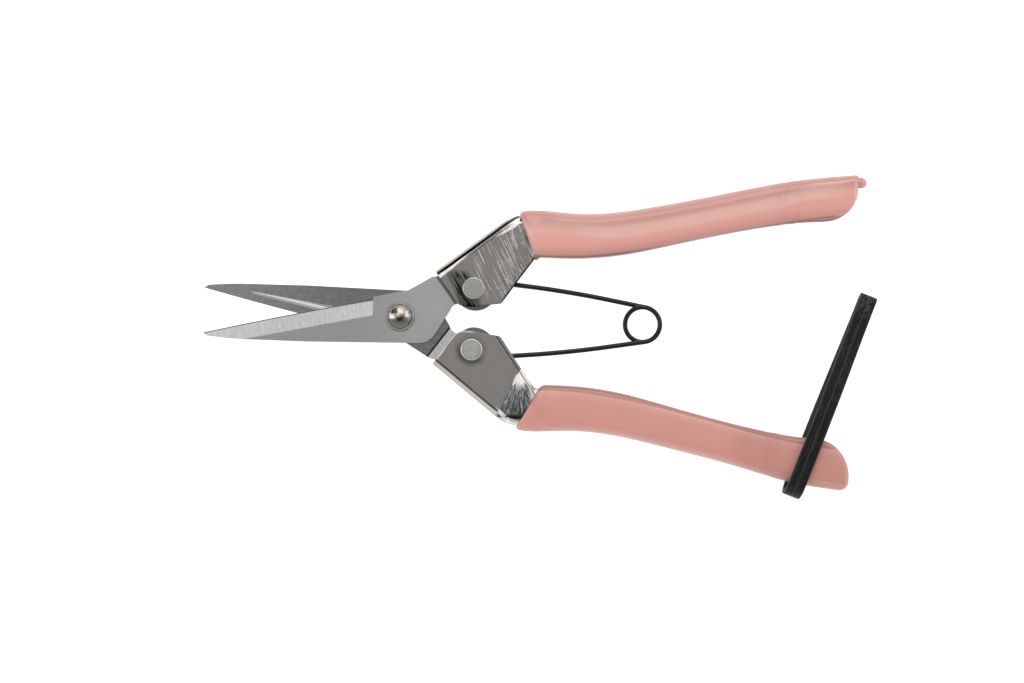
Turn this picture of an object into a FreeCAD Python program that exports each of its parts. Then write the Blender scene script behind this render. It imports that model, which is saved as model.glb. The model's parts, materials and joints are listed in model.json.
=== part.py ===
import FreeCAD, Part
import math
import os

# Floral snips: two hollow-ground blades that cross at a pivot bolt, two folded
# steel handles with dipped grips, a wire return spring and a closing strap.
#
# Frame: the snips lie flat. +X runs from the blade points to the handle ends,
# +Y to the upper handle, +Z out of the front face. The origin is on the pivot
# axis, at the flat underside of the pivot nut. Everything is drawn about the
# plane where the two blades meet, and save() lifts it to its height.

# ---- driving dimensions, in millimetres ----
MEETING_PLANE_Z = 5.2     # height of the blades' meeting plane above the nut's underside
BLADE_T = 1.8             # blade thickness
BLADE_GAP = 0.03          # each blade's running clearance from the meeting plane
SHANK_R = 2.0             # pivot bolt shank
PIVOT_CLEARANCE = 0.04    # radial clearance of the blades and washers on the shank
WASHER_R = 4.15
WASHER_T = 0.6
FACE_GAP = 0.02           # clearance between the front washer and the turning blade
DOME_R = 3.3
DOME_RIM_H = 0.5
DOME_H = 2.0
NUT_FLATS = 7.0
NUT_CHAMFER = 0.5

SHEET = 1.2               # sheet steel of the handles
CUT_BACK = 8.0            # how far the space inside is drawn beyond the mouth
CHANNEL_HALF = 3.05       # half thickness of the folded channel round the tang
TUBE_HALF = 4.15          # half thickness of the handle inside the grip
SWELL_LENGTH = 11.0       # length over which the channel swells to the tube
TAIL_HALF = 2.7           # half thickness of the flattened end
TAIL_X = 92.0             # where the flattening starts
TAIL_LENGTH = 17.0
FOLD_R = 1.5              # outer bend radius of the sheet
GRIP_WALL = 1.0           # dipped vinyl, over the handle's faces
GRIP_EDGE_R = 2.2
GRIP_CAP_TAPER = 0.4      # how much each side of the end cap draws in

RIVET = (20.75, 8.8)      # rivet centre in the upper handle
RIVET_HEAD_R = 3.1
RIVET_SHANK_R = 1.7
RIVET_PROUD = 0.15
RIVET_RIM_R = 0.3
RIVET_HOLE_GAP = 0.04

WIRE_R = 0.7
COIL_CENTRE = (69.5, 0.0)
COIL_R = 5.0              # mean radius of the coil
EYE_R = 2.5               # mean radius of the eye round the rivet
EYE_SWEEP = 270.0
LEG_PLANE = 1.1           # each leg's distance from the meeting plane
LEG_BEND = (48.0, 8.75)   # where the slightly bowed leg turns
LEG_BEND_R = 300.0

STRAP_FOOT = (113.8, -47.9)
STRAP_TOP = (134.5, 10.4)
STRAP_W = 5.0
STRAP_T = 1.25
STRAP_GAP = 3.85          # half gap between the strands where they pass the grip
STRAP_FOLD_GAP = 0.45     # half gap at the pinched top fold
STRAP_PARALLEL = 17.0     # length of the strands' parallel stretch
STRAP_WAIST = 38.0        # where they have come this share of the way together
STRAP_WAIST_SHARE = 0.38

FAR = 100.0               # reach of the cutting solids, beyond any part

Z_AXIS = FreeCAD.Vector(0, 0, 1)


# ---- helpers ----
def vec(point, z=0.0):
    return FreeCAD.Vector(point[0], point[1], z)


def outline(start, *steps):
    """Closed flat wire. A step is (x, y) for a line, a pair (mid, end) for an
    arc, or a longer list of points for a smooth curve through them."""
    edges = []
    here = start
    for step in steps:
        if isinstance(step[0], (int, float)):
            edges.append(Part.makeLine(vec(here), vec(step)))
            here = step
        elif len(step) == 2:
            edges.append(Part.Arc(vec(here), vec(step[0]), vec(step[1])).toShape())
            here = step[1]
        else:
            curve = Part.BSplineCurve()
            curve.interpolate([vec(here)] + [vec(point) for point in step])
            edges.append(curve.toShape())
            here = step[-1]
    if math.dist(here, start) > 1e-6:
        edges.append(Part.makeLine(vec(here), vec(start)))
    return Part.Wire(edges)


def plate(wire, z_low, z_high):
    solid = Part.Face(wire).extrude(FreeCAD.Vector(0, 0, z_high - z_low))
    return solid.translated(FreeCAD.Vector(0, 0, z_low))


def disc(radius, z_low, z_high, centre=(0.0, 0.0)):
    return Part.makeCylinder(radius, z_high - z_low, vec(centre, z_low), Z_AXIS)


def turned_over(shape):
    """The same piece for the other half of the tool: half a turn about X."""
    return shape.rotated(FreeCAD.Vector(), FreeCAD.Vector(1, 0, 0), 180)


def save(name, shape):
    solid = shape.translated(FreeCAD.Vector(0, 0, MEETING_PLANE_Z))
    if solid.ShapeType != "Solid" and len(solid.Solids) == 1:
        solid = solid.Solids[0]
    solid.exportStep(f"parts/{name}.step")
    print(f"{name}: solids {len(shape.Solids)}, valid {shape.isValid()}, {shape.Volume:.1f} mm3")


# ---- blades ----
BLADE_TIP = (-56.3, -6.4)
TANG_PAST_RIVET = 10.5        # how far the tang reaches beyond the rivet, along the handle
TANG_OUTER = 8.9              # from the line through the rivet to the tang's outer edge
TANG_INNER = 3.0              # and to its inner edge
EDGE_MID = (-30.0, -0.15)
EDGE_HEEL = (-10.2, 4.15)
BEVEL_END_X = -7.8
BEVEL_HEEL = (-8.3, 0.0)      # where the bevel's upper line ends at the heel
BEVEL_TOE = (-44.5, -7.9)     # where it runs out at the spine
BEVEL_WIDTH = 4.3
EDGE_THICKNESS = 0.2          # left at the cutting edge
HOLLOW_TOE_X = -43.5
HOLLOW_HEEL_X = -12.0
HOLLOW_DEPTH = 0.35
HOLLOW_TOE_Y = -5.9
HOLLOW_HEEL_Y = 0.75
HOLLOW_RAMP = 2.0             # width of the hollow's sloping side at the heel
HANDLE_DIR = (0.7905, 0.6125)  # direction of the handle's straight outer edge


def tang_corner(aside):
    """Corner at the end of the tang, that far to the left of the rivet line."""
    return (RIVET[0] + TANG_PAST_RIVET * HANDLE_DIR[0] - aside * HANDLE_DIR[1],
            RIVET[1] + TANG_PAST_RIVET * HANDLE_DIR[1] + aside * HANDLE_DIR[0])


def blade_outline():
    return outline(
        BLADE_TIP,
        ((-55.6, -7.05), (-54.2, -7.42)),
        ((-49.0, -7.82), (-42.0, -7.96)),
        (-26.8, -8.05),
        (6.2, -7.4),
        ((8.7, -6.3), (10.2, -4.5)),
        (14.2, 2.1),
        ((14.9, 3.4), (16.2, 4.2)),
        (17.0, 4.2),
        ((21.6, 2.38), (26.8, 5.6)),
        tang_corner(-TANG_INNER),
        tang_corner(TANG_OUTER),
        (10.1, 11.8),
        ((9.2, 11.75), (8.4, 11.45)),
        (2.0, 7.55),
        (-8.3, 5.25),
        ((-9.1, 5.0), (-9.6, 4.5)),
        EDGE_HEEL,
        (EDGE_MID, BLADE_TIP),
    )


def bevel_cutter():
    """Wedge over the ground bevel, from the upper line down to the edge."""
    run = math.atan2(BEVEL_HEEL[1] - BEVEL_TOE[1], BEVEL_HEEL[0] - BEVEL_TOE[0])
    drop = BLADE_T - EDGE_THICKNESS
    section = Part.makePolygon([
        FreeCAD.Vector(0, 0, 0),
        FreeCAD.Vector(0, 3 * BEVEL_WIDTH, -3 * drop),
        FreeCAD.Vector(0, 3 * BEVEL_WIDTH, 3),
        FreeCAD.Vector(0, 0, 3),
        FreeCAD.Vector(0, 0, 0),
    ])
    wedge = Part.Face(section).extrude(FreeCAD.Vector(FAR, 0, 0))
    wedge = wedge.translated(FreeCAD.Vector(-0.8 * FAR, 0, 0))
    wedge = wedge.rotated(FreeCAD.Vector(), Z_AXIS, math.degrees(run))
    wedge = wedge.translated(vec(BEVEL_HEEL, BLADE_GAP + BLADE_T))
    side = Part.makeBox(FAR, FAR, FAR, FreeCAD.Vector(BEVEL_END_X - FAR, -FAR / 2, -FAR / 2))
    return wedge.common(side)


def hollow_cutter():
    """Shallow hollow in the inner face: it deepens from the toe to the heel
    and ends along a narrow sloping side that runs beside the cutting edge."""
    floor = Part.makePolygon([
        FreeCAD.Vector(HOLLOW_TOE_X, 0, BLADE_GAP),
        FreeCAD.Vector(HOLLOW_HEEL_X, 0, BLADE_GAP + HOLLOW_DEPTH),
        FreeCAD.Vector(HOLLOW_HEEL_X, 0, BLADE_GAP - 2),
        FreeCAD.Vector(HOLLOW_TOE_X, 0, BLADE_GAP - 2),
        FreeCAD.Vector(HOLLOW_TOE_X, 0, BLADE_GAP),
    ])
    slab = Part.Face(floor).extrude(FreeCAD.Vector(0, FAR, 0)).translated(FreeCAD.Vector(0, -FAR / 2, 0))
    toe = FreeCAD.Vector(HOLLOW_TOE_X, HOLLOW_TOE_Y, BLADE_GAP)
    heel = FreeCAD.Vector(HOLLOW_HEEL_X, HOLLOW_HEEL_Y, BLADE_GAP)
    run = math.atan2(heel.y - toe.y, heel.x - toe.x)
    side = Part.makePolygon([
        FreeCAD.Vector(0, 0, 0),
        FreeCAD.Vector(0, -10 * HOLLOW_RAMP, 10 * HOLLOW_DEPTH),
        FreeCAD.Vector(0, -FAR, 10 * HOLLOW_DEPTH),
        FreeCAD.Vector(0, -FAR, -1),
        FreeCAD.Vector(0, HOLLOW_RAMP / HOLLOW_DEPTH, -1),
        FreeCAD.Vector(0, 0, 0),
    ])
    wedge = Part.Face(side).extrude(FreeCAD.Vector(FAR, 0, 0)).translated(FreeCAD.Vector(-FAR / 4, 0, 0))
    wedge = wedge.rotated(FreeCAD.Vector(), Z_AXIS, math.degrees(run)).translated(toe)
    return slab.common(wedge)


def blade():
    solid = plate(blade_outline(), BLADE_GAP, BLADE_GAP + BLADE_T)
    solid = solid.cut(bevel_cutter())
    solid = solid.cut(hollow_cutter())
    solid = solid.cut(disc(SHANK_R + PIVOT_CLEARANCE, -5, 5))
    return solid.cut(disc(RIVET_SHANK_R + RIVET_HOLE_GAP, -5, 5, RIVET))


# ---- handles ----
OUTER_HEEL = (9.6, 13.25)     # outer corner of the channel's mouth
MOUTH_FOOT = (16.3, 4.1)
LIP_ARCH = ((19.6, 3.5), (24.0, 4.05))    # the lower edge arches over the blade's lobe
LOWER_LIP = (28.9, 4.68)      # end of the channel's lower edge
THROAT_X = 30.0               # where the channel starts to swell into the tube
# Stations along the steel: x, underside y, outer side y.
SHOULDER = [(30.0, 6.3, 29.06), (33.5, 11.4, 30.25), (39.1, 19.3, 30.85)]
TUBE = [(39.1, 19.3, 30.85), (46.0, 19.15, 30.35), (54.0, 19.5, 30.25), (65.0, 21.05, 31.55),
        (75.0, 23.4, 33.55), (85.0, 25.9, 35.75), (100.0, 29.3, 39.3), (110.0, 31.1, 41.7),
        (119.0, 32.0, 43.2), (124.0, 32.9, 43.85), (127.2, 34.9, 43.9), (129.1, 37.4, 43.3)]


def smoothstep(value):
    t = min(max(value, 0.0), 1.0)
    return t * t * (3 - 2 * t)


def half_at(x):
    """Half thickness of the steel: flat channel, swelling, flattened tail."""
    swelling = (TUBE_HALF - CHANNEL_HALF) * smoothstep((x - THROAT_X) / SWELL_LENGTH)
    flattening = (TUBE_HALF - TAIL_HALF) * smoothstep((x - TAIL_X) / TAIL_LENGTH)
    return CHANNEL_HALF + swelling - flattening


def section(x, low, high, half, low_r, high_r):
    """Rounded rectangle across the handle at x, always built in one order."""
    corners = [(low, -half, low_r), (high, -half, high_r), (high, half, high_r), (low, half, low_r)]
    middle = 0.5 * (low + high)
    edges = []
    ends = []
    for y, z, r in corners:
        to_y = r if y < middle else -r
        to_z = r if z < 0 else -r
        centre = (y + to_y, z + to_z)
        diagonal = (centre[0] - to_y / math.sqrt(2), centre[1] - to_z / math.sqrt(2))
        on_z_face = (centre[0], z)
        on_y_face = (y, centre[1])
        arrive_on_y = (y < middle) == (z < 0)
        first, last = (on_y_face, on_z_face) if arrive_on_y else (on_z_face, on_y_face)
        ends.append((first, diagonal, last))
    for number, (first, diagonal, last) in enumerate(ends):
        first, diagonal, last = [FreeCAD.Vector(x, y, z) for y, z in (first, diagonal, last)]
        edges.append(Part.Arc(first, diagonal, last).toShape())
        following = ends[(number + 1) % 4][0]
        edges.append(Part.makeLine(last, FreeCAD.Vector(x, *following)))
    return Part.Wire(edges)


def loft(stations, offset, low_r, high_r, ruled):
    wires = [section(x, low - offset, high + offset, half_at(x) + offset, low_r, high_r)
             for x, low, high in stations]
    return Part.makeLoft(wires, True, ruled)


def channel(offset, heel, lower_edge, outer_r):
    """Flat part of the handle, with its outer corner folded round. lower_edge
    is the outline's steps from the throat back to the mouth."""
    end_x, end_low, end_high = SHOULDER[0]
    solid = plate(outline(heel, (end_x, end_high + offset), (end_x, end_low - offset), *lower_edge),
                  -CHANNEL_HALF - offset, CHANNEL_HALF + offset)
    folds = [edge for edge in solid.Edges
             if edge.BoundBox.XMin < heel[0] + 0.01 and edge.BoundBox.XMax > end_x - 0.01
             and edge.BoundBox.YMin > heel[1] - 0.01]
    return solid.makeFillet(outer_r, folds)


def handle_blank():
    flat = channel(0, OUTER_HEEL, [LOWER_LIP, LIP_ARCH[1], (LIP_ARCH[0], MOUTH_FOOT)], FOLD_R)
    shoulder = loft(SHOULDER, 0, 0.1, FOLD_R, True)
    tube = loft(TUBE, 0, FOLD_R, FOLD_R, False)
    return flat.fuse([shoulder, tube])


def hollow():
    """Space inside the sheet, open at the mouth and along the inner edge."""
    heel = (OUTER_HEEL[0] - CUT_BACK * HANDLE_DIR[0] + SHEET * HANDLE_DIR[1],
            OUTER_HEEL[1] - CUT_BACK * HANDLE_DIR[1] - SHEET * HANDLE_DIR[0])
    flat = channel(-SHEET, heel, [(LOWER_LIP[0], 0.0), (heel[0], 0.0)], FOLD_R - SHEET)
    shoulder = loft([(x, 2.0, high) for x, low, high in SHOULDER], -SHEET, 0.1, FOLD_R - SHEET, True)
    tube = loft(TUBE, -SHEET, FOLD_R - SHEET, FOLD_R - SHEET, False)
    return flat.fuse([shoulder, tube])


def handle(blank):
    return blank.cut(hollow()).cut(disc(RIVET_HEAD_R + RIVET_HOLE_GAP, -10, 10, RIVET))


# ---- grips ----
UPPER_DIP = ((32.9, 33.5), (37.2, 14.5))     # front edge of the dipped grip
LOWER_DIP = ((33.6, 33.5), (42.0, 14.5))


def grip(blank, dip):
    """Vinyl over the handle, from the dip line to past its end."""
    shoulder = loft(SHOULDER, GRIP_WALL, 0.8, GRIP_EDGE_R, True)
    tube = loft(TUBE, GRIP_WALL, GRIP_EDGE_R, GRIP_EDGE_R, False)
    end_x, end_low, end_high = TUBE[-1]
    cap = [(end_x, end_low, end_high),
           (end_x + GRIP_WALL, end_low + GRIP_CAP_TAPER, end_high - GRIP_CAP_TAPER)]
    solid = shoulder.fuse([tube, loft(cap, GRIP_WALL, GRIP_EDGE_R, GRIP_EDGE_R, True)])
    front, foot = dip
    keep = plate(outline(front, foot, (2 * FAR, foot[1]), (2 * FAR, FAR), (front[0], FAR)), -FAR, FAR)
    return solid.common(keep).cut(blank)


# ---- pivot and rivets ----
FRONT_FACE = BLADE_GAP + BLADE_T
WASHER_TOP = FRONT_FACE + FACE_GAP + WASHER_T


def washer():
    ring = disc(WASHER_R, FRONT_FACE + FACE_GAP, WASHER_TOP)
    ring = ring.cut(disc(SHANK_R + PIVOT_CLEARANCE, 0, 10))
    rim = [edge for edge in ring.Edges if abs(edge.BoundBox.XLength - 2 * WASHER_R) < 0.01
           and edge.BoundBox.ZMin > WASHER_TOP - 0.01]
    return ring.makeFillet(0.2, rim)


def pivot_bolt():
    """Domed head: a spherical cap on a short straight rim, then the shank."""
    cap_h = DOME_H - DOME_RIM_H
    ball_r = (DOME_R ** 2 + cap_h ** 2) / (2 * cap_h)
    head = disc(DOME_R, WASHER_TOP, WASHER_TOP + DOME_H)
    ball = Part.makeSphere(ball_r, FreeCAD.Vector(0, 0, WASHER_TOP + DOME_H - ball_r))
    shank = disc(SHANK_R, -MEETING_PLANE_Z, WASHER_TOP)
    return head.common(ball).fuse(shank).removeSplitter()


def pivot_nut():
    corner_r = NUT_FLATS / math.sqrt(3)
    corners = [(corner_r * math.cos(math.radians(60 * k)), corner_r * math.sin(math.radians(60 * k)))
               for k in range(6)]
    height = MEETING_PLANE_Z - WASHER_TOP
    nut = plate(outline(*corners), -MEETING_PLANE_Z, -WASHER_TOP)
    cone = Part.makeCone(corner_r - NUT_CHAMFER, corner_r - NUT_CHAMFER + 2 * height, height,
                         FreeCAD.Vector(0, 0, -MEETING_PLANE_Z), Z_AXIS)
    return nut.common(cone).cut(disc(SHANK_R + 0.01, -10, 0))


def rivet():
    face = CHANNEL_HALF + RIVET_PROUD
    head_t = SHEET + RIVET_PROUD
    solid = disc(RIVET_SHANK_R, -face + head_t / 2, face - head_t / 2, RIVET)
    for low in (-face, face - head_t):
        solid = solid.fuse(disc(RIVET_HEAD_R, low, low + head_t, RIVET))
    solid = solid.removeSplitter()
    rims = [edge for edge in solid.Edges if abs(edge.BoundBox.XLength - 2 * RIVET_HEAD_R) < 0.01
            and abs(edge.BoundBox.ZMin) > face - 0.01]
    return solid.makeFillet(RIVET_RIM_R, rims)


# ---- spring ----
def on_circle(centre, radius, degrees):
    angle = math.radians(degrees)
    return (centre[0] + radius * math.cos(angle), centre[1] + radius * math.sin(angle))


def tangent_direction(bend, centre, radius, side):
    """Direction of the line through bend that touches a circle on its top."""
    gap = (centre[0] - bend[0], centre[1] - bend[1])
    return math.degrees(math.atan2(gap[1], gap[0]) + side * math.asin(radius / math.hypot(*gap)))


def spring_arm():
    """Eye round the rivet, bowed leg, and half of the coil, one wire."""
    to_coil = tangent_direction(LEG_BEND, COIL_CENTRE, COIL_R, 1)
    back = tangent_direction(LEG_BEND, RIVET, EYE_R, -1)
    to_bend = back - 180 if back > 0 else back + 180
    z = -LEG_PLANE
    eye_out = on_circle(RIVET, EYE_R, 90 + to_bend)
    coil_in = on_circle(COIL_CENTRE, COIL_R, 90 + to_coil)
    turn = math.radians(to_bend - to_coil)
    tangent = LEG_BEND_R * math.tan(turn / 2)
    before = on_circle(LEG_BEND, -tangent, to_bend)
    after = on_circle(LEG_BEND, tangent, to_coil)
    sag = LEG_BEND_R * (1 / math.cos(turn / 2) - 1)
    crown = on_circle(LEG_BEND, -sag, 90 + 0.5 * (to_bend + to_coil))
    eye_start = on_circle(RIVET, EYE_R, 90 + to_bend + EYE_SWEEP)
    eye_mid = on_circle(RIVET, EYE_R, 90 + to_bend + EYE_SWEEP / 2)
    sweep = 90 + to_coil + 180
    pitch = LEG_PLANE * 360 / sweep
    helix = Part.makeHelix(pitch, LEG_PLANE, COIL_R, 0, True)
    helix = helix.rotated(FreeCAD.Vector(), Z_AXIS, 90 + to_coil).translated(vec(COIL_CENTRE, z))
    leg = Part.Wire([
        Part.Arc(vec(eye_start, z), vec(eye_mid, z), vec(eye_out, z)).toShape(),
        Part.makeLine(vec(eye_out, z), vec(before, z)),
        Part.Arc(vec(before, z), vec(crown, z), vec(after, z)).toShape(),
        Part.makeLine(vec(after, z), vec(coil_in, z)),
    ])
    start_dir = FreeCAD.Vector(*on_circle((0, 0), 1, to_bend + EYE_SWEEP), 0)
    leg_solid = swept(leg, vec(eye_start, z), start_dir)
    coil_dir = FreeCAD.Vector(*on_circle((0, 0), 1, to_coil), 0)
    coil_solid = swept(helix, vec(coil_in, z), coil_dir)
    return leg_solid.fuse(coil_solid)


def swept(path, start, direction):
    ring = Part.makeCircle(WIRE_R, start, direction)
    wire = Part.Wire(path.Edges) if path.ShapeType != "Wire" else path
    return wire.makePipeShell([Part.Wire([ring])], True, True)


# ---- strap ----
def strap():
    """Flat loop, drawn from the side along X with its thickness along Z, then
    turned to the way it leans."""
    length = math.dist(STRAP_FOOT, STRAP_TOP)

    def side(growth):
        wide = STRAP_GAP + growth
        narrow = STRAP_FOLD_GAP + growth
        foot_x = STRAP_T + STRAP_GAP
        top_x = length - STRAP_T - STRAP_FOLD_GAP
        waist = wide + STRAP_WAIST_SHARE * (narrow - wide)
        flank = [(foot_x + STRAP_PARALLEL, wide), (foot_x + STRAP_WAIST, waist), (top_x, narrow)]
        return outline(
            (foot_x, wide),
            flank,
            ((top_x + narrow, 0), (top_x, -narrow)),
            [(x, -half) for x, half in reversed(flank[:-1])] + [(foot_x, -wide)],
            ((foot_x - wide, 0), (foot_x, wide)),
        )

    loop = plate(side(STRAP_T), -STRAP_W / 2, STRAP_W / 2).cut(plate(side(0), -STRAP_W, STRAP_W))
    loop = loop.rotated(FreeCAD.Vector(), FreeCAD.Vector(1, 0, 0), 90)
    lean = math.degrees(math.atan2(STRAP_TOP[1] - STRAP_FOOT[1], STRAP_TOP[0] - STRAP_FOOT[0]))
    return loop.rotated(FreeCAD.Vector(), Z_AXIS, lean).translated(vec(STRAP_FOOT))


# ---- the whole tool ----
def main():
    os.makedirs("parts", exist_ok=True)
    front = blade()
    save("front_blade", front)
    save("rear_blade", turned_over(front))
    save("pivot_bolt", pivot_bolt())
    save("front_washer", washer())
    save("rear_washer", turned_over(washer()))
    save("pivot_nut", pivot_nut())
    blank = handle_blank()
    upper = handle(blank)
    save("upper_handle", upper)
    save("lower_handle", turned_over(upper))
    save("upper_grip", grip(blank, UPPER_DIP))
    save("lower_grip", turned_over(grip(blank, LOWER_DIP)))
    save("upper_rivet", rivet())
    save("lower_rivet", turned_over(rivet()))
    arm = spring_arm()
    save("spring_upper_arm", arm)
    save("spring_lower_arm", turned_over(arm))
    save("strap", strap())


main()
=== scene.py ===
import json
import math

import bpy
import numpy as np
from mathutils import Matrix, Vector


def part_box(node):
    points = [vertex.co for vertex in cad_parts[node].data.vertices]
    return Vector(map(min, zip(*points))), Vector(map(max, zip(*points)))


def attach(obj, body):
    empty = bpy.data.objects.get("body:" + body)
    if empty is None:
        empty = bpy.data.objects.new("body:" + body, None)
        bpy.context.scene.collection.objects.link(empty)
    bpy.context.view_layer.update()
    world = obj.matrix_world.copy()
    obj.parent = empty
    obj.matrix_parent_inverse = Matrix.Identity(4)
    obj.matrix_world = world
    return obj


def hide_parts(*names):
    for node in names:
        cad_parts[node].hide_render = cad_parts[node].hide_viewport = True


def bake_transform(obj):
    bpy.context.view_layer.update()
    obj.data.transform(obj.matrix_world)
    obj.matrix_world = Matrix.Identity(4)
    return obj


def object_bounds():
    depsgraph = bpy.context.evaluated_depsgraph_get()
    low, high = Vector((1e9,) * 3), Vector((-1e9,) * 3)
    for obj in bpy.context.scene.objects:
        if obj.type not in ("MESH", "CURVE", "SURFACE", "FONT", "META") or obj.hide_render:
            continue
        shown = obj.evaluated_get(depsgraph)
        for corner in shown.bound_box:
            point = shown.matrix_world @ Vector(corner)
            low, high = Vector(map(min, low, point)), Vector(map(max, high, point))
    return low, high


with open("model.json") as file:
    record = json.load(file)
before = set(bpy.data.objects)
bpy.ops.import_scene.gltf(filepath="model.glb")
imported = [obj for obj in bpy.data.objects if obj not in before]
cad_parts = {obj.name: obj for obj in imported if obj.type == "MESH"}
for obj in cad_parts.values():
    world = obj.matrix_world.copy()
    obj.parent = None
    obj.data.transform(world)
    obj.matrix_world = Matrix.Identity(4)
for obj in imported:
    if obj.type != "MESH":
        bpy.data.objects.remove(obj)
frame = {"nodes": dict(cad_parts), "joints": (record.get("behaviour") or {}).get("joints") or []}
cad_low, cad_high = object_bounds()

# The looks of the floral snips. Shapes are worked out in millimetres, in the
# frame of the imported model, and become metres when a piece is made.
MM = 0.001
JOINTS = {joint["name"]: joint for joint in frame["joints"]}


# ---- reading the frame ----
def box_mm(node):
    low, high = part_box(node)
    return np.array(low) / MM, np.array(high) / MM


def middle_mm(node):
    low, high = box_mm(node)
    return (low + high) / 2


def slices_mm(node, places):
    """Lowest y, highest y and half thickness of a CAD node where planes of
    constant x cut it."""
    mesh = frame["nodes"][node].data
    points = np.zeros(len(mesh.vertices) * 3)
    mesh.vertices.foreach_get("co", points)
    points = points.reshape(-1, 3) / MM
    ends = np.zeros(len(mesh.edges) * 2, int)
    mesh.edges.foreach_get("vertices", ends)
    first, second = points[ends.reshape(-1, 2)[:, 0]], points[ends.reshape(-1, 2)[:, 1]]
    rows = []
    for x in places:
        cut = ((first[:, 0] - x) * (second[:, 0] - x) <= 0) & (first[:, 0] != second[:, 0])
        a, b = first[cut], second[cut]
        share = ((x - a[:, 0]) / (b[:, 0] - a[:, 0]))[:, None]
        crossing = a + share * (b - a)
        rows.append((crossing[:, 1].min(), crossing[:, 1].max(), np.ptp(crossing[:, 2]) / 2))
    return np.array(rows)


MIDDLE_Z = middle_mm("upper_handle")[2]      # the blades' meeting plane
RIVET = middle_mm("upper_rivet")
COIL = np.array(JOINTS["spring_coil"]["pos_m"]) / MM


# ---- small mathematics ----
def smoothstep(low, high, value):
    t = np.clip((value - low) / (high - low), 0.0, 1.0)
    return t * t * (3 - 2 * t)


def bell(value, centre, width):
    return np.exp(-((value - centre) / width) ** 2)


def turned_over(points):
    """The same points for the other half of the tool: half a turn about the
    line along X in the meeting plane."""
    points = np.array(points, float)
    points[..., 1] *= -1
    points[..., 2] = 2 * MIDDLE_Z - points[..., 2]
    return points


# ---- materials ----
BLACK = (0.0, 0.0, 0.0)
DARK_LINE = (0.05, 0.048, 0.045)
# white of the real scratches on the upper handle and of the painted reflections on the lower one
SCRATCH_AND_GLINT_WHITE = (0.95, 0.94, 0.93)
TURNED_DOWN, FLAT_FACE = 0.7, 0.985      # a blade's bevel has a normal with its z between these


def toned(colour, share):
    """A colour times one number, or times a number for each channel."""
    return tuple(float(value) for value in np.multiply(colour, share))


class Nodes:
    """Shader nodes that compute with numbers and colours."""

    def __init__(self, tree):
        self.tree = tree

    def feed(self, socket, value):
        if isinstance(value, bpy.types.NodeSocket):
            self.tree.links.new(value, socket)
        else:
            socket.default_value = value

    def math(self, operation, first, second=0.0, third=0.0):
        node = self.tree.nodes.new("ShaderNodeMath")
        node.operation = operation
        for socket, value in zip(node.inputs, (first, second, third)):
            self.feed(socket, value)
        return node.outputs[0]

    def add(self, *values):
        total = values[0]
        for value in values[1:]:
            total = self.math("ADD", total, value)
        return total

    def times(self, *values):
        product = values[0]
        for value in values[1:]:
            product = self.math("MULTIPLY", product, value)
        return product

    def rise(self, value, low, high, at_low=0.0, at_high=1.0):
        """Smooth step from at_low to at_high as value goes from low to high."""
        node = self.tree.nodes.new("ShaderNodeMapRange")
        node.interpolation_type = "SMOOTHSTEP"
        for socket, number in zip(node.inputs, (value, low, high, at_low, at_high)):
            self.feed(socket, number)
        return node.outputs[0]

    def window(self, value, low, high, soft):
        """1 between low and high, 0 outside, with edges that wide."""
        opening = self.rise(value, low - soft / 2, low + soft / 2)
        closing = self.rise(value, high - soft / 2, high + soft / 2, 1.0, 0.0)
        return self.times(opening, closing)

    def split(self, vector):
        """The x, y and z of a vector."""
        node = self.tree.nodes.new("ShaderNodeSeparateXYZ")
        self.tree.links.new(vector, node.inputs[0])
        return node.outputs

    def mix(self, factor, first, second):
        node = self.tree.nodes.new("ShaderNodeMix")
        node.data_type = "RGBA"
        self.feed(node.inputs["Factor"], factor)
        for socket, value in ((node.inputs[6], first), (node.inputs[7], second)):
            self.feed(socket, value if isinstance(value, bpy.types.NodeSocket) else (*value, 1.0))
        return node.outputs[2]


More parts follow.
